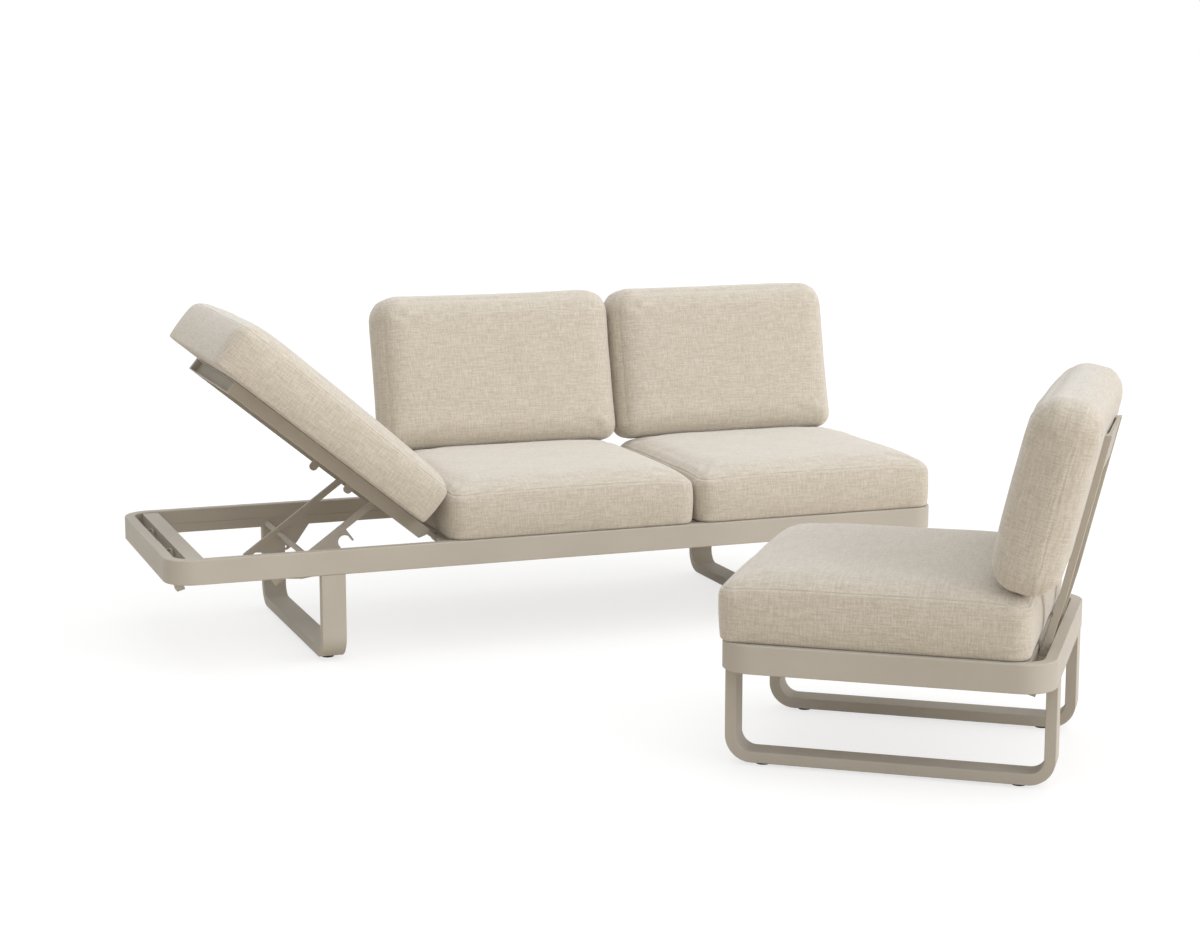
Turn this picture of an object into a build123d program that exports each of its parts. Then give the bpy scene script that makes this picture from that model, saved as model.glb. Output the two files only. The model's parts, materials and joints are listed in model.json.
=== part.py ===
"""Modular garden sofa: a three-place module with one reclining place, and a separate single seat.

Each module is modelled in its own frame: X runs along the seat row, Y from the front to the rear,
Z up from the floor. The single seat is then turned and set in front of the long module. The origin
of the whole part is the middle of its bounding box, on the floor.
"""
import math
import os

from build123d import *

os.makedirs("parts", exist_ok=True)

# Modules
seat_pitch = 750.0
depth = 750.0
long_places = 3
single_turn = -126.56
single_offset_x = 1440.0
single_offset_y = -689.4

# Base ring: a rectangular tube bent round the seat
foot_pad_height = 8.0
foot_pad_radius = 16.0
foot_pad_inset = 83.0
leg_drop = 233.4
band_height = 66.3
ring_wall = 28.6
ring_corner = 77.0
ring_ledge = 2.0
ring_ledge_height = 26.0
rim_bevel = 2.0

# Sleigh legs: flat bar bent to a U
leg_width = 66.6
leg_thickness = 26.1
leg_corner = 62.0
leg_bevel = 1.6
long_leg_inset = 407.6
single_leg_inset = 98.9

# Crossbars and slats inside the ring
slot_width = 28.4
crossbar_width = 45.0
crossbar_thickness = 32.0
crossbar_recess = 3.5
hinge_bar_gap = 19.0
slat_width = 58.0
slat_thickness = 8.0
slats_per_place = 5
slat_margin = 10.0

# Back supports: two bent flat uprights that plug into sockets, with a plate across their heads
upright_spacing = 290.0
upright_width = 33.0
upright_thickness = 16.5
upright_foot_inset = 63.7
upright_bend_height = 415.0
upright_top = 782.0
lean_low = 15.5
lean_high = 13.3
plate_height = 92.0
plate_thickness = 8.0
plate_recess = 1.5
socket_wall = 2.5
socket_play = 0.3
socket_top = 290.0
socket_length = 112.0
socket_tab = 5.0
socket_tab_margin = 9.0
plug_length = 84.0

# Recliner panel, laid out flat from its hinge axis: u away from the hinge, v up, then raised
recline_rest = 39.5
hinge_x = 766.0
hinge_z = 296.0
hinge_rod_radius = 8.0
running_play = 0.05
knuckle_wall = 3.0
knuckle_width = 30.0
strap_thickness = 6.0
strap_rise = 1.0
panel_inset = 104.0
rail_width = 18.0
rail_depth = 36.8
rail_top = 5.0
rail_foot = 39.6
rail_foot_slope = 11.2
panel_length = 720.0
strap_length = 90.0
head_bar_thickness = 20.0
head_bar_wall = 3.0
foot_bar_start = 52.0
foot_bar_width = 24.0
foot_bar_depth = 20.0
slat_start = 92.0
panel_slat_thickness = 3.2
panel_slat_width = 56.0
panel_slats = 9
lug_reach = 274.0
lug_drop = 21.5
lug_width = 24.0
lug_thickness = 7.0
lug_side_gap = 2.0

# Stay: two arms on a pivot tube, joined by a rod that props the panel
stay_pivot_x = 421.0
stay_pivot_z = 250.0
stay_pivot_radius = 8.0
stay_collar_radius = 11.0
stay_collar_width = 5.0
stay_centre_inset = 189.0
stay_angle = 35.8
stay_bar_offset = 10.7
stay_bar_depth = 17.0
stay_bar_thickness = 12.0
stay_plate_thickness = 6.0
stay_reach = 243.3
stay_tail = 118.0
stay_rod_radius = 6.0
stay_eye_wall = 5.0
hook_reach = 103.5
hook_drop = 24.0
hook_radius = 18.0
hook_prong = 6.0
hook_tip_drop = 34.0
plate_tail = 88.0
plate_heel_back = 49.0
plate_heel_drop = 31.0
plate_sole_back = 9.0
plate_sole_front = 24.0
plate_sole_drop = 52.0
drain_hole_drop = 41.6
drain_hole_radius = 4.0

# Cushions
seat_side_inset = 5.0
seat_front_inset = 4.0
seat_rear_inset = 52.0
seat_cushion_height = 130.0
seat_crown = 18.0
cushion_corner = 26.0
cushion_base_edge = 9.0
cushion_pull = 4.0
cushion_bulge = 5.0
recliner_cushion_start = 86.0
recliner_head_overhang = 98.0
recliner_cushion_height = 127.0
recliner_crown = 16.0
back_cushion_width = 736.0
back_cushion_height = 458.0
back_cushion_thickness = 146.0
back_cushion_crown = 12.0
back_cushion_rise = 432.0
back_cushion_shifts = (22.0, 32.0)
press_gap = 1.5
cut_overrun = 5.0

# Stations of a cushion loft: place along the length, and how far the section draws in there
end_place_shares = (0.0, 0.28, 1.0)
end_inset_shares = (0.62, 0.2, 0.0)
end_drop_shares = (0.55, 0.16, 0.0)
end_lift_shares = (0.4, 0.1, 0.0)
end_crown_shares = (0.15, 0.35, 0.6)

# Sizes that follow from the ones above
long_length = seat_pitch * long_places
band_bottom = foot_pad_height + leg_drop
band_top = band_bottom + band_height
crossbar_top = band_top - crossbar_recess
crossbar_bottom = crossbar_top - crossbar_thickness
crossbar_start = ring_wall + slot_width
crossbar_end = crossbar_start + crossbar_width
hinge_bar_start = hinge_x + hinge_bar_gap
seat_cushion_width = seat_pitch - 2 * seat_side_inset
seat_cushion_depth = depth - seat_front_inset - seat_rear_inset
recliner_cushion_length = panel_length + recliner_head_overhang - recliner_cushion_start


def block(x0, x1, y0, y1, z0, z1):
    """Box between two corners."""
    return Pos((x0 + x1) / 2, (y0 + y1) / 2, (z0 + z1) / 2) * Box(x1 - x0, y1 - y0, z1 - z0)


def rod_along_y(x, z, radius, y0, y1):
    """Round bar along Y."""
    return Pos(x, (y0 + y1) / 2, z) * Rot(X=90) * Cylinder(radius, y1 - y0)


def along_y(face, y0, y1):
    """Profile drawn in X and Z, thickened from y0 to y1."""
    return extrude(Plane.XZ.offset(-y1) * face, y1 - y0)


def along_x(face, x0, x1):
    """Profile drawn in Y and Z, thickened from x0 to x1."""
    return extrude(Plane.YZ.offset(x0) * face, x1 - x0)


def outline(*points):
    """Flat face inside a closed outline of straight lines."""
    return make_face(Polyline(*points, close=True))


def base_ring(length):
    """Rectangular tube bent to a rounded ring, with a shallow ledge inside its lower edge."""
    outer = RectangleRounded(length, depth, ring_corner)
    inner = RectangleRounded(length - 2 * ring_wall, depth - 2 * ring_wall, ring_corner - ring_wall)
    wall = ring_wall + ring_ledge
    ledge = RectangleRounded(length - 2 * wall, depth - 2 * wall, ring_corner - wall)
    ring = extrude(outer, band_height) - extrude(ledge, band_height)
    ring -= Pos(0, 0, ring_ledge_height) * extrude(inner, band_height)
    ring = chamfer(ring.edges().group_by(Axis.Z)[-1], rim_bevel)
    ring = chamfer(ring.edges().group_by(Axis.Z)[0], rim_bevel)
    return Pos(length / 2, depth / 2, band_bottom) * ring


def ring_pieces(ring, length):
    """The long ring as it is welded up: two straight rails and two bent ends."""
    straight_end = length - ring_corner
    front = ring & block(ring_corner, straight_end, 0, depth / 2, 0, band_top)
    rear = ring & block(ring_corner, straight_end, depth / 2, depth, 0, band_top)
    left = ring & block(0, ring_corner, 0, depth, 0, band_top)
    right = ring & block(straight_end, length, 0, depth, 0, band_top)
    return {"front_rail": front, "rear_rail": rear, "left_end": left, "right_end": right}


def sleigh_leg(start):
    """Flat bar bent to a U under the front and rear of the ring."""
    outer = Rectangle(depth, leg_drop)
    outer = fillet(outer.vertices().group_by(Axis.Y)[0], leg_corner)
    inner = Pos(0, leg_thickness) * Rectangle(depth - 2 * leg_thickness, leg_drop)
    inner = fillet(inner.vertices().group_by(Axis.Y)[0], leg_corner - leg_thickness)
    profile = Pos(depth / 2, foot_pad_height + leg_drop / 2) * (outer - inner)
    loop = along_x(profile, start, start + leg_width)
    sides = loop.edges().group_by(Axis.X)
    tops = loop.faces().group_by(Axis.Z)[-1].edges()
    return chamfer([e for e in sides[0] + sides[-1] if e not in tops], leg_bevel)


def foot_pads(starts):
    """Round pads under both ends of each leg."""
    pads = []
    for start in starts:
        for y in (foot_pad_inset, depth - foot_pad_inset):
            pad = Cylinder(foot_pad_radius, foot_pad_height)
            pads.append(Pos(start + leg_width / 2, y, foot_pad_height / 2) * pad)
    return pads


def rear_edge(centre):
    """Frame of a back place: X along the ring's rear edge, Y outwards from its outer face."""
    return Pos(centre, depth, 0)


def end_edge():
    """The same frame on the free left end of the long module."""
    return Pos(0, depth / 2, 0) * Rot(Z=90)


def leaning(y, z, lean):
    """Frame on a leaning line through (y, z), with its own Z up along the line."""
    return Pos(0, y, z) * Rot(X=-lean)


def upright_line(z):
    """Outward place of an upright's rear face at a height, in the frame of a back place."""
    tan_low = math.tan(math.radians(lean_low))
    tan_high = math.tan(math.radians(lean_high))
    low = -upright_foot_inset + (min(z, upright_bend_height) - socket_bottom()) * tan_low
    return low + max(z - upright_bend_height, 0) * tan_high


def socket_bottom():
    """Height of the lower mouth of a socket."""
    return socket_top - socket_length * math.cos(math.radians(lean_low))


def upright_sides():
    """Where the two uprights of a back place start, along the edge."""
    return [-upright_spacing / 2 - upright_width / 2, upright_spacing / 2 - upright_width / 2]


def plug_foot():
    """Height of an upright's lower end, inside its socket."""
    return socket_top - plug_length * math.cos(math.radians(lean_low))


def upright(start):
    """Flat bar that leans back, bent a little above the seat."""
    front_low = upright_thickness / math.cos(math.radians(lean_low))
    front_high = upright_thickness / math.cos(math.radians(lean_high))
    foot = plug_foot()
    bar = outline(
        (upright_line(foot), foot),
        (upright_line(upright_bend_height), upright_bend_height),
        (upright_line(upright_top), upright_top),
        (upright_line(upright_top) - front_high, upright_top),
        (upright_line(upright_bend_height) - front_high, upright_bend_height),
        (upright_line(foot) - front_low, foot),
    )
    return along_x(bar, start, start + upright_width)


def socket(start):
    """Open rectangular sleeve that an upright plugs into, hung on the crossbar by a tab."""
    play = socket_play + socket_wall
    frame = leaning(upright_line(socket_top), socket_top, lean_low)
    shell = block(
        start - play, start + upright_width + play, -upright_thickness - play, play, -socket_length, 0
    )
    hollow = block(
        start - socket_play, start + upright_width + socket_play,
        -upright_thickness - socket_play, socket_play,
        -socket_length - cut_overrun, cut_overrun,
    )
    return frame * (shell - hollow)


def socket_shell(start):
    """Solid outside of a socket, to cut its seat in the crossbar."""
    play = socket_play + socket_wall
    frame = leaning(upright_line(socket_top), socket_top, lean_low)
    return frame * block(
        start - play, start + upright_width + play,
        -upright_thickness - play, play,
        -socket_length, cut_overrun,
    )


def slot_crossbar(x0, x1, centres, ring, frame):
    """Flat bar behind the seat, with tabs that hold the sockets. Written in the edge frame."""
    bar = frame * block(x0, x1, -crossbar_end, -crossbar_start, crossbar_bottom, crossbar_top)
    for centre in centres:
        for start in upright_sides():
            left = centre + start - socket_tab_margin
            right = centre + start + upright_width + socket_tab_margin
            tab_top = crossbar_bottom + socket_tab
            bar += frame * block(left, right, -crossbar_start, -ring_wall, crossbar_bottom, tab_top)
            bar -= frame * Pos(centre, 0, 0) * socket_shell(start)
    return bar - ring


def head_plate():
    """Plate between the heads of two uprights, set in a little from their rear faces."""
    start = upright_sides()[0] + upright_width
    frame = leaning(upright_line(upright_top), upright_top, lean_high)
    plate = block(start, -start, -plate_recess - plate_thickness, -plate_recess, -plate_height, cut_overrun)
    keep = block(start, -start, -depth, depth, 0, upright_top)
    return (frame * plate) & keep


def slats(x0, x1, y0, y1):
    """Flat slats across the ring, evenly spaced between two bars."""
    room = x1 - x0 - 2 * slat_margin
    step = (room - slat_width) / (slats_per_place - 1)
    group = []
    for i in range(slats_per_place):
        left = x0 + slat_margin + i * step
        group.append(block(left, left + slat_width, y0, y1, crossbar_top - slat_thickness, crossbar_top))
    return group


def cushion_section(width, height, inset, drop, lift, crown):
    """Section of a cushion: flat base, bulging sides and a crowned top."""
    half = width / 2 - inset
    top = height - drop
    side = half + cushion_bulge
    foot = half - cushion_base_edge
    base = lift + cushion_base_edge
    shoulder = top - cushion_corner
    waist = (base + shoulder) / 2
    bend = cushion_corner * (1 - math.sqrt(0.5))
    parts = [
        Line((-foot, lift), (foot, lift)),
        Line((foot, lift), (half, base)),
        ThreePointArc((half, base), (side, waist), (half, shoulder)),
        ThreePointArc((half, shoulder), (half - bend, top - bend), (half - cushion_corner, top)),
        ThreePointArc((half - cushion_corner, top), (0, top + crown), (-half + cushion_corner, top)),
        ThreePointArc((-half + cushion_corner, top), (-half + bend, top - bend), (-half, shoulder)),
        ThreePointArc((-half, shoulder), (-side, waist), (-half, base)),
        Line((-half, base), (-foot, lift)),
    ]
    return make_face(parts)


def cushion(length, width, height, crown):
    """Box cushion along X from 0 to length, centred on Y, standing on Z = 0."""
    stations = []
    for i, place in enumerate(end_place_shares):
        inset = end_inset_shares[i] * cushion_corner
        drop = end_drop_shares[i] * cushion_corner
        lift = end_lift_shares[i] * cushion_corner
        stations.append((place * cushion_corner, inset, drop, lift, end_crown_shares[i] * crown))
    mirrored = [(length - station[0],) + station[1:] for station in reversed(stations)]
    stations.append((length / 2, cushion_pull, 0, 0, crown))
    sections = []
    for x, inset, drop, lift, rise in stations + mirrored:
        sections.append(Plane.YZ.offset(x) * cushion_section(width, height, inset, drop, lift, rise))
    return loft(sections, ruled=True)


def panel(shape):
    """Raise a shape laid out flat from the hinge axis to the panel's angle at rest."""
    return Pos(hinge_x, 0, hinge_z) * Rot(Y=recline_rest) * shape


def panel_block(u0, u1, y0, y1, v0, v1):
    """Box in the panel's own frame: u away from the hinge, v up."""
    return block(-u1, -u0, y0, y1, v0, v1)


def side_rail(y0):
    """Side rail of the panel, cut off slanting at the hinge end."""
    profile = outline(
        (-rail_foot - rail_foot_slope, rail_top - rail_depth),
        (-panel_length, rail_top - rail_depth),
        (-panel_length, rail_top),
        (-rail_foot, rail_top),
        (-rail_foot, rail_top - rail_depth / 2),
    )
    return panel(along_y(profile, y0, y0 + rail_width))


def hinge_strap(y0):
    """Strap inside a side rail, ending in a knuckle that turns on the hinge rod."""
    strap_low = strap_rise - strap_thickness / 2
    body = panel_block(0, strap_length, y0, y0 + knuckle_width, strap_low, strap_low + strap_thickness)
    body += rod_along_y(0, 0, hinge_rod_radius + knuckle_wall, y0, y0 + knuckle_width)
    bore_y1 = y0 + knuckle_width + cut_overrun
    bore = rod_along_y(0, 0, hinge_rod_radius + running_play, y0 - cut_overrun, bore_y1)
    return panel(body - bore)


def rest_lug(y0):
    """Round-ended lug under the panel."""
    low = rail_top - rail_depth - lug_drop + lug_width / 2
    high = rail_top - panel_slat_thickness
    start = lug_reach - lug_width / 2
    body = panel_block(start, start + lug_width, y0, y0 + lug_thickness, low, high)
    body += rod_along_y(-lug_reach, low, lug_width / 2, y0, y0 + lug_thickness)
    return panel(body)


def stay_frame():
    """Frame of the stay at rest: X from the pivot up along the arms, Z square to them."""
    return Pos(stay_pivot_x, 0, stay_pivot_z) * Rot(Y=-stay_angle)


def stay_arm(y0):
    """Flat bar with a hook plate welded under it and a bore for the pivot tube and the prop rod."""
    middle = y0 + stay_bar_thickness / 2
    bar_low = stay_bar_offset - stay_bar_depth / 2
    bar_high = stay_bar_offset + stay_bar_depth / 2
    half = stay_bar_depth / 2
    rod_place = math.sqrt(stay_reach ** 2 - stay_bar_offset ** 2)
    bar = block(-stay_tail, rod_place, y0, y0 + stay_bar_thickness, bar_low, bar_high)
    bar += rod_along_y(rod_place, stay_bar_offset, half, y0, y0 + stay_bar_thickness)
    plate_y0 = middle - stay_plate_thickness / 2
    plate_y1 = middle + stay_plate_thickness / 2
    notch_start = hook_reach - hook_radius
    notch_end = hook_reach + hook_radius
    plate = outline(
        (-plate_tail, bar_low),
        (-plate_heel_back, -plate_heel_drop),
        (-plate_sole_back, -plate_sole_drop),
        (plate_sole_front, -plate_sole_drop),
        (notch_start, -plate_heel_drop),
        (notch_end, -plate_heel_drop),
        (notch_end + hook_prong, -plate_heel_drop),
        (notch_end + hook_prong, bar_low),
    )
    plate = along_y(plate, plate_y0, plate_y1)
    plate += rod_along_y(notch_end + hook_prong / 2, -hook_tip_drop, hook_prong / 2, plate_y0, plate_y1)
    prong_end = notch_end + hook_prong
    plate += block(notch_end, prong_end, plate_y0, plate_y1, -hook_tip_drop, -plate_heel_drop)
    cut_y0 = plate_y0 - cut_overrun
    cut_y1 = plate_y1 + cut_overrun
    plate -= rod_along_y(hook_reach, -hook_drop, hook_radius, cut_y0, cut_y1)
    plate -= block(notch_start, notch_end, cut_y0, cut_y1, -plate_sole_drop, -hook_drop)
    plate -= rod_along_y(-plate_sole_back, -drain_hole_drop, drain_hole_radius, cut_y0, cut_y1)
    arm = bar + plate
    arm += rod_along_y(0, 0, stay_pivot_radius + stay_eye_wall, y0, y0 + stay_bar_thickness)
    bore_y0 = y0 - cut_overrun
    bore_y1 = y0 + stay_bar_thickness + cut_overrun
    arm -= rod_along_y(0, 0, stay_pivot_radius + running_play, bore_y0, bore_y1)
    arm -= rod_along_y(rod_place, stay_bar_offset, stay_rod_radius, bore_y0, bore_y1)
    return stay_frame() * arm


def stay_rod(y0, y1):
    """Rod through the upper ends of both arms."""
    rod_place = math.sqrt(stay_reach ** 2 - stay_bar_offset ** 2)
    return stay_frame() * rod_along_y(rod_place, stay_bar_offset, stay_rod_radius, y0, y1)


def stay_pivot_tube(ring):
    """Tube across the ring that the stay turns on, with a collar at each end."""
    inner = ring_wall + ring_ledge
    tube = rod_along_y(stay_pivot_x, stay_pivot_z, stay_pivot_radius, inner, depth - inner)
    for y in (inner, depth - inner - stay_collar_width):
        tube += rod_along_y(stay_pivot_x, stay_pivot_z, stay_collar_radius, y, y + stay_collar_width)
    return tube - ring


def back_cushion():
    """Back cushion in the frame of a back place, leaning on the uprights."""
    flat = cushion(back_cushion_width, back_cushion_height, back_cushion_thickness, back_cushion_crown)
    flat = Pos(-back_cushion_width / 2, back_cushion_height / 2, 0) * flat
    stood = Rot(X=90) * flat
    rear = upright_line(back_cushion_rise) - upright_thickness / math.cos(math.radians(lean_high))
    return leaning(rear, back_cushion_rise, lean_high) * stood


def seat_cushion():
    """Seat cushion of one place, in the frame of that place."""
    flat = cushion(seat_cushion_width, seat_cushion_depth, seat_cushion_height, seat_crown)
    return Pos(seat_side_inset, seat_front_inset + seat_cushion_depth / 2, band_top) * flat


def build_long_module():
    """All nodes of the three-place module, in its own frame."""
    nodes = {}
    ring = base_ring(long_length)
    leg_starts = (long_leg_inset, long_length - long_leg_inset - leg_width)
    for name, piece in ring_pieces(ring, long_length).items():
        nodes["sofa_ring_" + name] = piece
    nodes["sofa_leg_left"] = sleigh_leg(leg_starts[0])
    nodes["sofa_leg_right"] = sleigh_leg(leg_starts[1])
    nodes["sofa_foot_pads"] = foot_pads(leg_starts)

    half = depth / 2 - ring_wall
    nodes["sofa_end_crossbar"] = slot_crossbar(-half, half, [0], ring, end_edge())
    nodes["sofa_end_sockets"] = [end_edge() * socket(start) for start in upright_sides()]

    hinge_bar_end = hinge_bar_start + crossbar_width
    inner = ring_wall
    nodes["sofa_hinge_crossbar"] = block(
        hinge_bar_start, hinge_bar_end, inner, depth - inner, crossbar_bottom, crossbar_top
    )
    back_centres = [seat_pitch * (place + 0.5) for place in range(1, long_places)]
    slot_bar = slot_crossbar(hinge_bar_end, long_length - inner, back_centres, ring, rear_edge(0))
    nodes["sofa_slot_crossbar"] = slot_bar

    slat_rear = depth - crossbar_end
    for name, place in (("middle", 1), ("right", 2)):
        left = hinge_bar_end if place == 1 else seat_pitch * place
        right = seat_pitch * (place + 1) - (ring_corner if place == long_places - 1 else 0)
        nodes["sofa_seat_slats_" + name] = slats(left, right, inner, slat_rear)
        add_back_place(nodes, "sofa_" + name, rear_edge(seat_pitch * (place + 0.5)))
        seat = Pos(seat_pitch * place, 0, 0) * seat_cushion()
        aside = seat_pitch * (place + 0.5) - back_cushion_shifts[place - 1]
        back = rear_edge(aside) * back_cushion()
        nodes["sofa_seat_cushion_" + name] = seat
        nodes["sofa_back_cushion_" + name] = back

    add_recliner(nodes, ring)
    pressed = panel(panel_block(
        recliner_cushion_start - press_gap, recliner_cushion_start + recliner_cushion_length,
        0, depth + cut_overrun, -rail_depth,
        rail_top + recliner_cushion_height + recliner_crown + press_gap,
    ))
    nodes["sofa_back_cushion_middle"] -= pressed
    nodes["sofa_seat_cushion_middle"] -= pressed
    return nodes


def add_back_place(nodes, name, frame):
    """Sockets, uprights and head plate of one back place."""
    sides = upright_sides()
    nodes[name + "_back_sockets"] = [frame * socket(start) for start in sides]
    nodes[name + "_back_upright_left"] = frame * upright(sides[0])
    nodes[name + "_back_upright_right"] = frame * upright(sides[1])
    nodes[name + "_back_plate"] = frame * head_plate()


def add_recliner(nodes, ring):
    """Reclining place: panel, hinge, stay and cushion."""
    inner = ring_wall
    nodes["recliner_hinge_rod"] = rod_along_y(hinge_x, hinge_z, hinge_rod_radius, inner, depth - inner)
    near = panel_inset
    far = depth - panel_inset - rail_width
    inside = (near + rail_width, far)
    nodes["recliner_side_rail_near"] = side_rail(near)
    nodes["recliner_side_rail_far"] = side_rail(far)
    nodes["recliner_hinge_strap_near"] = hinge_strap(inside[0])
    nodes["recliner_hinge_strap_far"] = hinge_strap(inside[1] - knuckle_width)
    rail_low = rail_top - rail_depth
    strap_low = strap_rise - strap_thickness / 2
    slat_end = panel_length - head_bar_thickness
    head_bar = panel_block(slat_end, panel_length, inside[0], inside[1], rail_low, rail_top)
    head_bar -= panel_block(
        slat_end + head_bar_wall, panel_length + cut_overrun, inside[0], inside[1],
        rail_low + head_bar_wall, rail_top - head_bar_wall,
    )
    nodes["recliner_head_bar"] = panel(head_bar)
    nodes["recliner_foot_bar"] = panel(
        panel_block(
            foot_bar_start, foot_bar_start + foot_bar_width, inside[0], inside[1],
            strap_low - foot_bar_depth, strap_low,
        )
    )
    step = (slat_end - slat_start - panel_slat_width) / (panel_slats - 1)
    slat_group = []
    for i in range(panel_slats):
        u = slat_start + i * step
        slat_group.append(panel(panel_block(
            u, u + panel_slat_width, inside[0], inside[1], rail_top - panel_slat_thickness, rail_top
        )))
    nodes["recliner_slats"] = slat_group

    arm_near = stay_centre_inset - stay_bar_thickness / 2
    arm_far = depth - stay_centre_inset - stay_bar_thickness / 2
    lug_near = arm_near - lug_side_gap - lug_thickness
    lug_far = arm_far + stay_bar_thickness + lug_side_gap
    nodes["recliner_rest_lugs"] = [rest_lug(lug_near), rest_lug(lug_far)]

    nodes["stay_pivot_tube"] = stay_pivot_tube(ring)
    nodes["stay_arm_near"] = stay_arm(arm_near)
    nodes["stay_arm_far"] = stay_arm(arm_far)
    rod_end = arm_far + stay_bar_thickness + stay_collar_width
    nodes["stay_cross_rod"] = stay_rod(arm_near - stay_collar_width, rod_end)

    flat = cushion(recliner_cushion_length, seat_cushion_depth, recliner_cushion_height, recliner_crown)
    head = -recliner_cushion_start - recliner_cushion_length
    middle = seat_front_inset + seat_cushion_depth / 2
    nodes["recliner_cushion"] = panel(Pos(head, middle, rail_top) * flat)


def build_single_seat():
    """All nodes of the single seat, in its own frame."""
    nodes = {}
    ring = base_ring(seat_pitch)
    leg_starts = (single_leg_inset, seat_pitch - single_leg_inset - leg_width)
    nodes["single_base_ring"] = ring
    nodes["single_leg_left"] = sleigh_leg(leg_starts[0])
    nodes["single_leg_right"] = sleigh_leg(leg_starts[1])
    nodes["single_foot_pads"] = foot_pads(leg_starts)
    frame = rear_edge(seat_pitch / 2)
    half = seat_pitch / 2 - ring_wall
    nodes["single_slot_crossbar"] = slot_crossbar(-half, half, [0], ring, frame)
    slat_rear = depth - crossbar_end
    nodes["single_seat_slats"] = slats(ring_corner, seat_pitch - ring_corner, ring_wall, slat_rear)
    add_back_place(nodes, "single", frame)
    nodes["single_seat_cushion"] = seat_cushion()
    nodes["single_back_cushion"] = frame * back_cushion()
    return nodes


def as_list(shape):
    """A node as a list of shapes."""
    return shape if isinstance(shape, list) else [shape]


def main():
    """Build both modules, put them in the common frame and write one file per node."""
    long_nodes = build_long_module()
    single_place = Pos(single_offset_x, single_offset_y, 0) * Rot(Z=single_turn)
    single_nodes = {}
    for name, shape in build_single_seat().items():
        single_nodes[name] = [single_place * piece for piece in as_list(shape)]
    nodes = {**long_nodes, **single_nodes}
    pieces = [piece for shape in nodes.values() for piece in as_list(shape)]
    middle = Compound(children=pieces).bounding_box().center()
    centre = Pos(-middle.X, -middle.Y, 0)
    for name, shape in nodes.items():
        solids = [centre * solid for piece in as_list(shape) for solid in piece.solids()]
        node = solids[0] if len(solids) == 1 else Compound(children=solids)
        node.label = name
        export_step(node, f"parts/{name}.step")
    print("origin in the long module's frame", middle.X, middle.Y)


main()
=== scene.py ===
"""Modular garden sofa, dressed: cushions, woven cloth, powder coat, light and camera."""
import json
import math

import bpy
import numpy as np
from mathutils import Matrix, Vector, noise


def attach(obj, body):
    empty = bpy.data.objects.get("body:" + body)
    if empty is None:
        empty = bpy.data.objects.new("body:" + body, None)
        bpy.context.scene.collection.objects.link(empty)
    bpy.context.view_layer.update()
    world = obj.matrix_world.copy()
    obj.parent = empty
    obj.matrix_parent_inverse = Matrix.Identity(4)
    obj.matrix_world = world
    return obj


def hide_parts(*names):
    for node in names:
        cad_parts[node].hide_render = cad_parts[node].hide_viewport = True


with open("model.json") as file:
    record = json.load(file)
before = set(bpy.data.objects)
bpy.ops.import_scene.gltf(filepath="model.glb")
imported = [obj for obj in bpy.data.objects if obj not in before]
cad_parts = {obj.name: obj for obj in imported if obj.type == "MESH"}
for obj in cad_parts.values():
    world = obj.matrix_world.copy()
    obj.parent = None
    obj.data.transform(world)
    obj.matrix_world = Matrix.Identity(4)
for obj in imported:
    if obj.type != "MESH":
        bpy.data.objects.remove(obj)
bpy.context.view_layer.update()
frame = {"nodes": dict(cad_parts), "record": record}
MM = 0.001

# Camera: place in metres and angles in degrees, in the shared frame. Lens and sensor in millimetres
CAMERA_PLACE = (-2.17602, -5.59130, 1.59689)
CAMERA_YAW = -20.3537
CAMERA_PITCH = 9.6215
CAMERA_LENS = 71.422
CAMERA_SENSOR = 36.0
CAMERA_REACH = 200.0

# Colours, linear
FABRIC_LIGHT = (0.655, 0.60, 0.513)
FABRIC_DARK = (0.485, 0.427, 0.347)
FABRIC_MID = (0.58, 0.525, 0.445)
FABRIC_PATCH = (0.54, 0.48, 0.39)
METAL = (0.51, 0.47, 0.405)
RUBBER = (0.018, 0.018, 0.018)
FLOOR_BOUNCE = (0.68, 0.61, 0.52)
FLOOR_PALE = (0.8, 0.8, 0.8)
WHITE = (1.0, 1.0, 1.0)

# Cloth: the threads' pitch, and how long a slub runs in warp and weft, in metres
THREAD_PITCH = 0.0036
WARP_RUN, WARP_SEED = 0.032, 3.1
WEFT_RUN, WEFT_SEED = 0.040, 8.7
# Shares of threads and fine grain in the weave, and of the plain and patch colours laid over it
THREAD_SHARE, GRAIN_SHARE = 0.75, 0.25
PLAIN_SHARE, PATCH_SHARE = 0.1, 0.1
# Parts of the normal above which a face counts as top or base, and as an end
FLAT_FACING, END_FACING = 0.62, 0.7

# Floor: its size in metres, its glow to the camera and how much of it shows beside the pale ground
FLOOR_SIZE = 400.0
FLOOR_GLOW = 1.2
FLOOR_WHITE = 0.60

# Soft light of the world: its base, and what each axis (0 to 2) adds towards its lit side
WORLD_BASE = 0.43
WORLD_SIDES = ((2, 0.38), (0, 0.58), (1, -0.22))

# Soft suns: name, energy, angle across in degrees, and where each comes from
SUNS = (("front", 1.20, 50.0, (0.67, -0.70, 0.34)),
        ("top", 0.40, 50.0, (0.05, -0.10, 0.98)))

# Words in the names of nodes whose edges stay as they are, and the others' eased edge: its width in
# metres, and the angle in degrees from which an edge is eased
EDGES_KEPT = ("cushion", "ring", "leg_", "pads")
EASE_WIDTH = 0.0011
EASE_ANGLE = 38.0

# Lengths from here on are in millimetres.
# Plan of the long module: the shared origin in it, and the corner and turn in degrees of the single
# seat's own plan
ORIGIN = (1125.0, -468.993)
SINGLE_PLACE = (1440.0, -689.4)
SINGLE_TURN = -126.56

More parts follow.
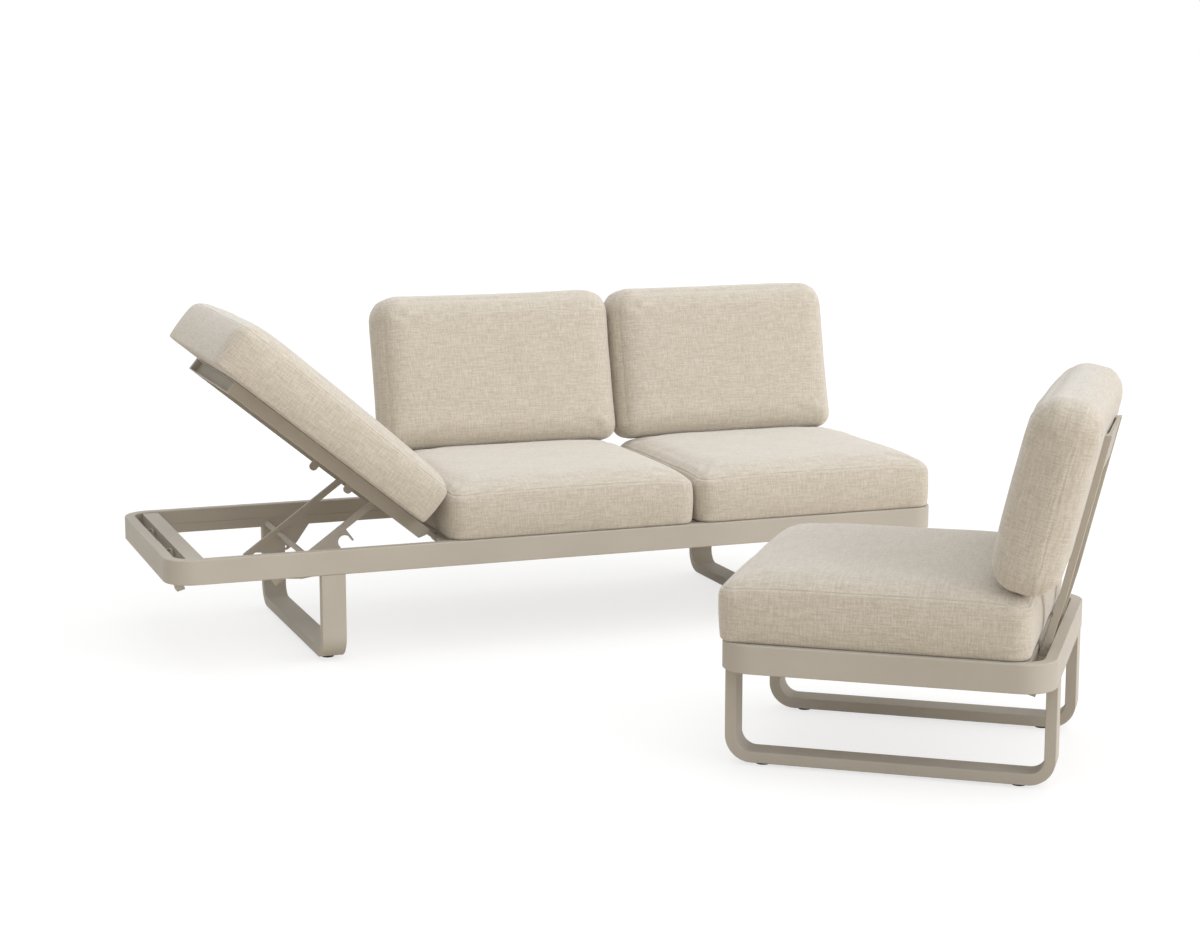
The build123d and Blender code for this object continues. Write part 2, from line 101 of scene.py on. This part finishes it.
# Grid of a cushion: spacing near its ends and over its middle, and the same through its height
GRID_MARGIN, GRID_FINE, GRID_COARSE = 10.0, 7.0, 16.0
ROWS_EDGE, ROWS_FINE, ROWS_COARSE = 30.0, 5.0, 9.0
TINY = 1e-6

# Seam: rows of the grid beside it, how clear of other rows it stays, half the width of its groove,
# the share and place of the swell on both sides, and the strip that the simulation holds still
SEAM_ROWS = (-7.5, -4.5, -2.2, 0.0, 2.2, 4.5, 7.5)
SEAM_CLEAR, SEAM_TOP_CLEAR = 8.0, 1.0
SEAM_HALF = 2.6
SWELL_SHARE, SWELL_PLACE, SWELL_WIDTH = 0.22, 2.6, 1.5
SEAM_HELD = 2.5

# How deep from its sides and from its sagging edge a cushion is changed, the exponents of its
# swells, the share of its length over which the head's extra thickness fades, and the scale of the
# unevenness along each axis
SIDE_DEPTH = 30.0
SAG_DEPTH = 60.0
CROWN_POWER, BELLY_POWER, PULL_POWER, ARCH_POWER = 0.75, 0.8, 0.6, 4
HEAD_REACH = 0.8
WOBBLE_SCALE = (0.011, 0.011, 0.013)
CLOTH_FRAMES = 20

# Forms of the cushions:
#   upper, lower   radius of the corners in plan, in the half with Y above the middle and below it
#   top, low       radius of the edge round the top face, and round the base
#   crown, under   rise of the top face in its middle, and fall of the base
#   arch           further rise of the top, down to nothing at its four corners
#   fall           exponent of the crown's fall to the sides: more is later and steeper
#   belly, pull    bulge of the sides at half height, and how far their middles are drawn in
#   wobble         slow unevenness
#   sag            how far the top face slides towards its lower side
#   head           extra thickness at the end where X starts
#   seam, groove   height of the seam, and depth of its groove
#   cap            the most that the simulation may move a point
#   flat           whether the base is held flat
SEAT = dict(upper=44.0, lower=44.0, top=32.0, low=8.0, crown=19.0, under=0.0, arch=9.0, fall=4.6,
            belly=5.0, pull=2.0, wobble=1.8, sag=0.0, head=0.0, seam=125.0, groove=2.3,
            cap=4.0, flat=True)
BACK = dict(upper=76.0, lower=48.0, top=60.0, low=48.0, crown=15.0, under=1.0, arch=0.0, fall=2.8,
            belly=3.0, pull=4.0, wobble=1.6, sag=12.0, head=0.0, seam=44.0, groove=0.4,
            cap=3.0, flat=False)
RECLINER = dict(upper=44.0, lower=44.0, top=36.0, low=5.0, crown=18.0, under=0.0, arch=0.0,
                fall=4.0, belly=4.0, pull=2.0, wobble=1.8, sag=0.0, head=14.0, seam=118.0,
                groove=2.0, cap=4.0, flat=True)

# Seat cushions: their rear side, the height that they lie at, and their thickness
SEAT_REAR = 694.0
SEAT_BASE = 307.7
SEAT_HEIGHT = 131.0
# Back cushions: their foot in Y and Z, their lean in degrees, and how much lower the single one is
BACK_HEIGHT, BACK_THICK = 455.0, 147.0
BACK_FOOT = (738.0, 440.0)
BACK_LEAN = 13.3
SINGLE_BACK_DROP = 18.0
# The recliner's cushion: the hinge in X and Z, the raised panel's tilt in degrees, and how far the
# cushion starts from the hinge, from the front of the module and over the hinge
RECLINER_SIZE = (734.0, 690.0, 125.0)
HINGE = (766.0, 296.0)
PANEL_TILT = 39.5
RECLINER_START = 86.0
RECLINER_FRONT = 6.0
RECLINER_LIFT = 6.5


class Graph:
    """The nodes of a material or a world, with a short call for each kind that is used often."""

    def __init__(self, owner):
        owner.use_nodes = True
        self.nodes = owner.node_tree.nodes
        self.links = owner.node_tree.links

    def join(self, value, socket):
        """Give a socket a number or a colour, or link it to another node's output."""
        if isinstance(value, (int, float)):
            socket.default_value = value
        elif isinstance(value, tuple):
            socket.default_value = (*value, 1.0)
        else:
            self.links.new(value, socket)

    def node(self, kind, sockets=None):
        """A new node, with some of its inputs given by name or number."""
        made = self.nodes.new(kind)
        for key, value in (sockets or {}).items():
            self.join(value, made.inputs[key])
        return made

    def math(self, operation, *values):
        made = self.nodes.new("ShaderNodeMath")
        made.operation = operation
        for key, value in enumerate(values):
            self.join(value, made.inputs[key])
        return made.outputs[0]

    def noise(self, vector, scale, detail, rough=0.5):
        return self.node("ShaderNodeTexNoise", {
            "Scale": scale, "Detail": detail, "Roughness": rough, "Vector": vector}).outputs["Fac"]

    def mix_colour(self, share, a, b):
        made = self.nodes.new("ShaderNodeMix")
        made.data_type = "RGBA"
        factor, first, second = 0, 6, 7
        for key, value in ((factor, share), (first, a), (second, b)):
            self.join(value, made.inputs[key])
        return made.outputs[2]

    def span(self, value, low, high, to_low=0.0, to_high=1.0):
        """Map a value from low and high to other limits, and hold it there."""
        return self.node("ShaderNodeMapRange", {
            "From Min": low, "From Max": high, "To Min": to_low, "To Max": to_high,
            "Value": value}).outputs["Result"]

    def mix_shader(self, share, a, b):
        return self.node("ShaderNodeMixShader", {0: share, 1: a, 2: b}).outputs[0]

    def seen(self):
        """1 for rays from the camera and those it sees in or through something, 0 for others."""
        ray = self.nodes.new("ShaderNodeLightPath").outputs
        direct = self.math("MAXIMUM", ray["Is Camera Ray"], ray["Is Glossy Ray"])
        return self.math("MAXIMUM", direct, ray["Is Transmission Ray"])

    def object_place(self):
        return self.nodes.new("ShaderNodeTexCoord").outputs["Object"]

    def finish(self, shader, colour, roughness, height, strength, distance):
        """Link colour, roughness and a bump of the given height to the shader."""
        bump = self.node("ShaderNodeBump", {
            "Strength": strength, "Distance": distance, "Height": height})
        self.join(colour, shader.inputs["Base Color"])
        self.join(roughness, shader.inputs["Roughness"])
        self.join(bump.outputs["Normal"], shader.inputs["Normal"])


def new_material(name):
    material = bpy.data.materials.new(name)
    graph = Graph(material)
    return material, graph, graph.nodes["Principled BSDF"]


def shade(colour, factor):
    return tuple(part * factor for part in colour)


def face_lengths(graph):
    """Two lengths laid along each face of a cushion: across it, and up or back over it."""
    coords = graph.nodes.new("ShaderNodeTexCoord")
    x, y, z = graph.node("ShaderNodeSeparateXYZ", {0: coords.outputs["Object"]}).outputs
    normal = graph.node("ShaderNodeSeparateXYZ", {0: coords.outputs["Normal"]}).outputs
    flat = graph.math("GREATER_THAN", graph.math("ABSOLUTE", normal[2]), FLAT_FACING)
    end = graph.math("GREATER_THAN", graph.math("ABSOLUTE", normal[0]), END_FACING)
    upright = graph.math("SUBTRACT", 1.0, flat)
    end = graph.math("MULTIPLY", end, upright)
    across = graph.math("MULTIPLY_ADD", end, graph.math("SUBTRACT", y, x), x)
    up = graph.math("MULTIPLY_ADD", upright, graph.math("SUBTRACT", z, y), y)
    return across, up


def threads(graph, across, along, run, seed):
    """Streaks of one set of threads, a pitch apart, that change their tone after a run."""
    vector = graph.node("ShaderNodeCombineXYZ", {
        0: graph.math("MULTIPLY", across, 1.0 / THREAD_PITCH),
        1: graph.math("MULTIPLY", along, 1.0 / run),
        2: seed})
    return graph.noise(vector.outputs[0], scale=1.0, detail=2.5, rough=0.62)


def fabric_material():
    """Plain woven melange cloth: slubbed warp and weft laid along each face of the cushion."""
    material, graph, shader = new_material("fabric_weave")
    across, up = face_lengths(graph)
    warp = threads(graph, across, up, WARP_RUN, WARP_SEED)
    weft = threads(graph, up, across, WEFT_RUN, WEFT_SEED)
    grain = graph.noise(graph.object_place(), scale=280.0, detail=1.0)
    patches = graph.noise(graph.object_place(), scale=9.0, detail=3.0)
    crossed = graph.math("MULTIPLY", graph.math("ADD", warp, weft), 0.5)
    crossed = graph.math("MULTIPLY", crossed, THREAD_SHARE)
    weave = graph.math("MULTIPLY_ADD", grain, GRAIN_SHARE, crossed)
    colour = graph.mix_colour(graph.span(weave, 0.40, 0.60), FABRIC_DARK, FABRIC_LIGHT)
    colour = graph.mix_colour(PLAIN_SHARE, colour, FABRIC_MID)
    patchy = graph.span(patches, 0.3, 0.7, 0.0, PATCH_SHARE)
    graph.finish(shader, colour=graph.mix_colour(patchy, colour, FABRIC_PATCH),
                 roughness=graph.span(weave, 0.3, 0.7, 0.95, 0.82),
                 height=weave, strength=0.8, distance=0.0020)
    shader.inputs["Sheen Weight"].default_value = 0.6
    shader.inputs["Sheen Roughness"].default_value = 0.5
    shader.inputs["Specular IOR Level"].default_value = 0.2
    return material


def metal_material():
    """Satin powder coat, with its fine orange peel and a little variation."""
    material, graph, shader = new_material("powder_coat")
    peel = graph.noise(graph.object_place(), scale=900.0, detail=2.0, rough=0.55)
    cloud = graph.noise(graph.object_place(), scale=4.0, detail=3.0)
    colour = graph.mix_colour(graph.span(cloud, 0.3, 0.7), shade(METAL, 0.95), shade(METAL, 1.04))
    speck = graph.span(peel, 0.35, 0.65, 0.0, 0.10)
    graph.finish(shader, colour=graph.mix_colour(speck, colour, shade(METAL, 0.75)),
                 roughness=graph.span(peel, 0.3, 0.7, 0.48, 0.62),
                 height=peel, strength=0.12, distance=0.0004)
    shader.inputs["Specular IOR Level"].default_value = 0.2
    return material


def rubber_material():
    """Moulded rubber with a fine grain."""
    material, graph, shader = new_material("foot_rubber_moulded")
    grain = graph.noise(graph.object_place(), scale=300.0, detail=3.0, rough=0.55)
    tone = graph.span(grain, 0.3, 0.7)
    graph.finish(shader, colour=graph.mix_colour(tone, shade(RUBBER, 0.8), shade(RUBBER, 1.2)),
                 roughness=graph.span(grain, 0.3, 0.7, 0.64, 0.76),
                 height=grain, strength=0.2, distance=0.0003)
    return material


def floor_material():
    """Pale ground. The camera, and metal that reflects it, see it nearly white."""
    material, graph, shader = new_material("floor_pale")
    graph.nodes.remove(shader)
    bounce = graph.node("ShaderNodeBsdfDiffuse", {"Color": FLOOR_BOUNCE}).outputs[0]
    pale = graph.node("ShaderNodeBsdfDiffuse", {"Color": FLOOR_PALE}).outputs[0]
    glow = graph.node("ShaderNodeEmission", {"Color": WHITE, "Strength": FLOOR_GLOW}).outputs[0]
    shown = graph.mix_shader(FLOOR_WHITE, pale, glow)
    surface = graph.mix_shader(graph.seen(), bounce, shown)
    graph.join(surface, graph.nodes["Material Output"].inputs["Surface"])
    return material


FINISHES = {"fabric": fabric_material(), "frame": metal_material(),
            "foot_rubber": rubber_material()}


def add_camera():
    data = bpy.data.cameras.new("camera")
    data.lens = CAMERA_LENS
    data.sensor_width = CAMERA_SENSOR
    data.clip_end = CAMERA_REACH
    camera = bpy.data.objects.new("camera", data)
    camera.location = CAMERA_PLACE
    camera.rotation_euler = (math.radians(90 - CAMERA_PITCH), 0, math.radians(CAMERA_YAW))
    bpy.context.scene.collection.objects.link(camera)
    bpy.context.scene.camera = camera


def add_floor():
    bpy.ops.mesh.primitive_plane_add(size=FLOOR_SIZE, location=(0, 0, 0))
    floor = bpy.context.object
    floor.name = "floor"
    floor.data.materials.append(floor_material())


def add_world():
    """Soft light, stronger from above, the right and the front. The camera sees plain white."""
    world = bpy.data.worlds.new("studio")
    bpy.context.scene.world = world
    graph = Graph(world)
    graph.nodes.clear()
    view = graph.nodes.new("ShaderNodeTexCoord").outputs["Generated"]
    direction = graph.node("ShaderNodeSeparateXYZ", {0: view}).outputs
    level = WORLD_BASE
    for axis, share in WORLD_SIDES:
        side = graph.math("MAXIMUM", graph.math("MULTIPLY", direction[axis], share), 0.0)
        level = graph.math("ADD", level, side)
    soft = graph.node("ShaderNodeBackground", {"Color": WHITE, "Strength": level}).outputs[0]
    white = graph.node("ShaderNodeBackground", {"Color": WHITE, "Strength": 1.0}).outputs[0]
    graph.node("ShaderNodeOutputWorld", {"Surface": graph.mix_shader(graph.seen(), soft, white)})


def add_suns():
    for name, energy, spread, place in SUNS:
        lamp = bpy.data.lights.new(name, "SUN")
        lamp.energy = energy
        lamp.angle = math.radians(spread)
        sun = bpy.data.objects.new(name, lamp)
        sun.rotation_euler = Vector(place).to_track_quat("Z", "Y").to_euler()
        bpy.context.scene.collection.objects.link(sun)


def dress_nodes():
    """Finishes of the CAD pieces, with their sharp edges eased."""
    slots = {entry["node"]: entry["material_slot"] for entry in frame["record"]["subparts"]}
    for name, obj in frame["nodes"].items():
        for place in obj.material_slots:
            place.material = FINISHES[slots[name]]
        if not any(word in name for word in EDGES_KEPT):
            ease = obj.modifiers.new("ease", "BEVEL")
            ease.width = EASE_WIDTH
            ease.segments = 2
            ease.limit_method = "ANGLE"
            ease.angle_limit = math.radians(EASE_ANGLE)
            ease.use_clamp_overlap = True


def move(x, y, z):
    return Matrix.Translation((x * MM, y * MM, z * MM))


def turn(degrees, axis):
    return Matrix.Rotation(math.radians(degrees), 4, axis)


LONG = move(-ORIGIN[0], -ORIGIN[1], 0)
SINGLE = LONG @ move(*SINGLE_PLACE, 0) @ turn(SINGLE_TURN, "Z")


def stations(length, edge, fine, coarse):
    """Grid lines from 0 to length, closer together within edge of both ends."""
    near = np.linspace(0, edge, round(edge / fine) + 1)
    middle = np.linspace(edge, length - edge, round((length - 2 * edge) / coarse) + 1)
    return np.concatenate([near, middle[1:-1], length - near[::-1]])


def seam_stations(height, seam):
    """Grid lines through a cushion's height, with their own rows beside the seam."""
    rows = [z for z in stations(height, ROWS_EDGE, ROWS_FINE, ROWS_COARSE)
            if abs(z - seam) > SEAM_CLEAR or z in (0.0, height)]
    rows += [seam + row for row in SEAM_ROWS if seam + row < height - SEAM_TOP_CLEAR]
    return np.array(sorted({round(float(z), 4) for z in rows}))


def box_grid(*lines):
    """Points and quads over the outside of a box that is cut at these lines along each axis."""
    index, points, faces = {}, [], []
    forward = ((0, 0), (0, 1), (1, 1), (1, 0))
    backward = ((0, 0), (1, 0), (1, 1), (0, 1))

    def vertex(key):
        if key not in index:
            index[key] = len(points)
            points.append([lines[axis][step] for axis, step in enumerate(key)])
        return index[key]

    def quad(axes, i, j, level, order):
        face = []
        for step_i, step_j in order:
            steps = dict(zip(axes, (i + step_i, j + step_j, level)))
            face.append(vertex((steps[0], steps[1], steps[2])))
        faces.append(face)

    # Two axes along the sides, the axis across them, and the order of corners on the first side
    for axes, first, second in (((0, 1, 2), forward, backward), ((0, 2, 1), backward, forward),
                                ((1, 2, 0), forward, backward)):
        count_i, count_j, last = (len(lines[axis]) - 1 for axis in axes)
        for i in range(count_i):
            for j in range(count_j):
                quad(axes, i, j, 0, first)
                quad(axes, i, j, last, second)
    return np.array(points, float), faces


def round_corner(x, y, a, b, corner):
    """Round the corners of a plan with half sizes a and b.

    Returns x and y, their depth inside the edge, and the outward normal of the nearest side.
    """
    u, v = abs(x) - (a - corner), abs(y) - (b - corner)
    if u > 0 and v > 0:
        reach = max(u, v)
        ux, vy = u / math.hypot(u, v), v / math.hypot(u, v)
        x = math.copysign(a - corner + reach * ux, x)
        y = math.copysign(b - corner + reach * vy, y)
        return x, y, corner - reach, (math.copysign(ux, x), math.copysign(vy, y))
    if b - abs(y) < a - abs(x):
        return x, y, b - abs(y), (0.0, math.copysign(1.0, y))
    return x, y, a - abs(x), (math.copysign(1.0, x), 0.0)


def round_edge(depth, z, radius, centre):
    """Round the edge between a side and the face above or below, about a centre in height."""
    p, q = depth - radius, z - centre
    k = radius / math.hypot(p, q)
    return radius + p * k, centre + q * k


def cushion_point(point, size, form, seed):
    """Where a point on the outside of a box lies on the stuffed cushion.

    X runs from 0 to the length, Z from 0 up. Y runs from 0 in the box and is centred on return.
    """
    length, width, height = size
    a, b = length / 2, width / 2
    gz = point[2]
    on_top, on_base = gz >= height - TINY, gz <= TINY
    x, y = point[0] - a, point[1] - b
    x, y, depth, normal = round_corner(x, y, a, b, form["upper"] if y > 0 else form["lower"])
    top, low = form["top"], form["low"]
    inside, z = depth, gz
    if inside < top and z > height - top:
        inside, z = round_edge(inside, z, top, height - top)
    elif inside < low and z < low:
        inside, z = round_edge(inside, z, low, low)

    fx = max(0.0, 1 - abs(x / a) ** form["fall"])
    fy = max(0.0, 1 - abs(y / b) ** form["fall"])
    crown = (fx * fy) ** CROWN_POWER
    level = gz / height
    near_side = math.exp(-depth / SIDE_DEPTH)
    along = fx if abs(normal[1]) > abs(normal[0]) else fy
    belly = form["belly"] * math.sin(math.pi * level) ** BELLY_POWER * near_side
    pull = form["pull"] * along ** PULL_POWER * near_side
    shift = depth - inside + belly - pull
    if on_top:
        z += form["crown"] * crown
    elif on_base:
        z -= form["under"] * crown
    y -= form["sag"] * level * math.exp(-(b + y) / SAG_DEPTH)
    z += form["arch"] * level * (1 - abs(x / a) ** ARCH_POWER * abs(y / b) ** ARCH_POWER)

    sx, sy, sz = WOBBLE_SCALE
    wobble = noise.noise(Vector((x * sx + seed, y * sy, z * sz))) * form["wobble"]
    shift += wobble * near_side
    if on_top:
        z += wobble * (fx * fy)
    to_head = max(0.0, 1 - (x + a) / (HEAD_REACH * length))
    z *= 1 + form["head"] / height * min(1.0, to_head)
    return x + a + normal[0] * shift, y + normal[1] * shift, z


def seam_profile(distance):
    """Cross-section of a seam: a narrow groove between two soft swells."""
    groove = -math.exp(-(distance / SEAM_HALF) ** 2)
    beside = (abs(distance) - SWELL_PLACE * SEAM_HALF) / (SWELL_WIDTH * SEAM_HALF)
    return groove + SWELL_SHARE * math.exp(-beside ** 2)


def puff(obj, still, cap):
    """Blow the cover up a little as cloth, with some points held still, and keep its shape."""
    mesh = obj.data
    start = np.array([v.co[:] for v in mesh.vertices])
    group = obj.vertex_groups.new(name="held")
    group.add([int(n) for n in np.flatnonzero(still)], 1.0, "REPLACE")
    cloth = obj.modifiers.new("cloth", "CLOTH")
    cloth.collision_settings.use_collision = False
    settings = cloth.settings
    settings.quality = 6
    settings.mass = 0.35
    settings.tension_stiffness = 22.0
    settings.compression_stiffness = 14.0
    settings.shear_stiffness = 8.0
    settings.bending_stiffness = 1.2
    settings.use_pressure = True
    settings.uniform_pressure_force = 2.0
    settings.effector_weights.gravity = 0.0
    settings.vertex_group_mass = "held"
    settings.pin_stiffness = 1.0
    scene = bpy.context.scene
    for step in range(CLOTH_FRAMES):
        scene.frame_set(step + 1)
    view = bpy.context.evaluated_depsgraph_get()
    settled = np.array([v.co[:] for v in obj.evaluated_get(view).data.vertices])
    obj.modifiers.remove(cloth)
    scene.frame_set(1)
    shift = settled - start
    far = np.linalg.norm(shift, axis=1, keepdims=True)
    shift *= np.minimum(1.0, cap * MM / np.maximum(far, TINY))
    for vert, place in zip(mesh.vertices, start + shift):
        vert.co = place
    obj.vertex_groups.clear()
    mesh.update()


def make_cushion(name, node, body, matrix, size, form, seed):
    """One cushion as its own mesh, in its own frame, which replaces its CAD solid."""
    length, width, height = size
    edge = form["upper"] + GRID_MARGIN
    grid, faces = box_grid(stations(length, edge, GRID_FINE, GRID_COARSE),
                           stations(width, edge, GRID_FINE, GRID_COARSE),
                           seam_stations(height, form["seam"]))
    mesh = bpy.data.meshes.new(name)
    points = np.array([cushion_point(point, size, form, seed) for point in grid])
    mesh.from_pydata([tuple(point * MM) for point in points], [], faces)
    mesh.update()
    obj = bpy.data.objects.new(name, mesh)
    bpy.context.scene.collection.objects.link(obj)

    gx, gy, gz = grid.T
    on_side = (gx <= TINY) | (gx >= length - TINY) | (gy <= TINY) | (gy >= width - TINY)
    on_seam = on_side & (abs(gz - form["seam"]) < SEAM_HELD)
    puff(obj, on_seam | ((gz <= TINY) & form["flat"]), form["cap"])
    normals = [v.normal.copy() for v in mesh.vertices]
    for n in np.flatnonzero(on_side):
        amount = seam_profile(gz[n] - form["seam"])
        mesh.vertices[n].co += normals[n] * amount * form["groove"] * MM
    mesh.update()

    obj.matrix_world = matrix
    mesh.materials.append(FINISHES["fabric"])
    for poly in mesh.polygons:
        poly.use_smooth = True
    smooth = obj.modifiers.new("smooth", "SUBSURF")
    smooth.levels = 1
    smooth.render_levels = 1
    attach(obj, body)
    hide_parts(node)


def seat(name, node, body, module, start, length, front, seed):
    """A seat cushion of a module, from start along its length and from front to the rear."""
    width = SEAT_REAR - front
    matrix = module @ move(start, front + width / 2, SEAT_BASE)
    make_cushion(name, node, body, matrix, (length, width, SEAT_HEIGHT), SEAT, seed)


def back(name, node, body, module, start, length, height, seed):
    """A back cushion of a module, leaning, with its own Y up and its thickness to the front."""
    foot = module @ move(start, *BACK_FOOT) @ turn(-BACK_LEAN, "X") @ turn(90, "X")
    matrix = foot @ move(0, height / 2, 0)
    make_cushion(name, node, body, matrix, (length, height, BACK_THICK), BACK, seed)


def recliner(seed):
    """The cushion of the recliner, on its raised panel."""
    hinge = LONG @ move(HINGE[0], 0, HINGE[1]) @ turn(PANEL_TILT, "Y")
    matrix = hinge @ move(-RECLINER_START - RECLINER_SIZE[0],
                          RECLINER_FRONT + RECLINER_SIZE[1] / 2, RECLINER_LIFT)
    make_cushion("cushion_recliner", "recliner_cushion", "recliner_panel",
                 matrix, RECLINER_SIZE, RECLINER, seed)


add_camera()
add_floor()
add_world()
add_suns()
dress_nodes()

seat("cushion_seat_middle", "sofa_seat_cushion_middle", "long_module", LONG,
     start=772.0, length=717.0, front=6.0, seed=1.3)
seat("cushion_seat_right", "sofa_seat_cushion_right", "long_module", LONG,
     start=1501.0, length=732.0, front=6.0, seed=5.4)
seat("cushion_seat_single", "single_seat_cushion", "single_seat", SINGLE,
     start=5.0, length=732.0, front=-3.0, seed=11.2)
back("cushion_back_middle", "sofa_back_cushion_middle", "long_module", LONG,
     start=754.0, length=738.0, height=BACK_HEIGHT, seed=7.7)
back("cushion_back_right", "sofa_back_cushion_right", "long_module", LONG,
     start=1494.0, length=717.0, height=BACK_HEIGHT, seed=11.0)
back("cushion_back_single", "single_back_cushion", "single_seat", SINGLE,
     start=9.0, length=732.0, height=BACK_HEIGHT - SINGLE_BACK_DROP, seed=15.9)
recliner(seed=2.9)

bpy.context.scene.view_settings.view_transform = "Standard"
bpy.context.view_layer.update()
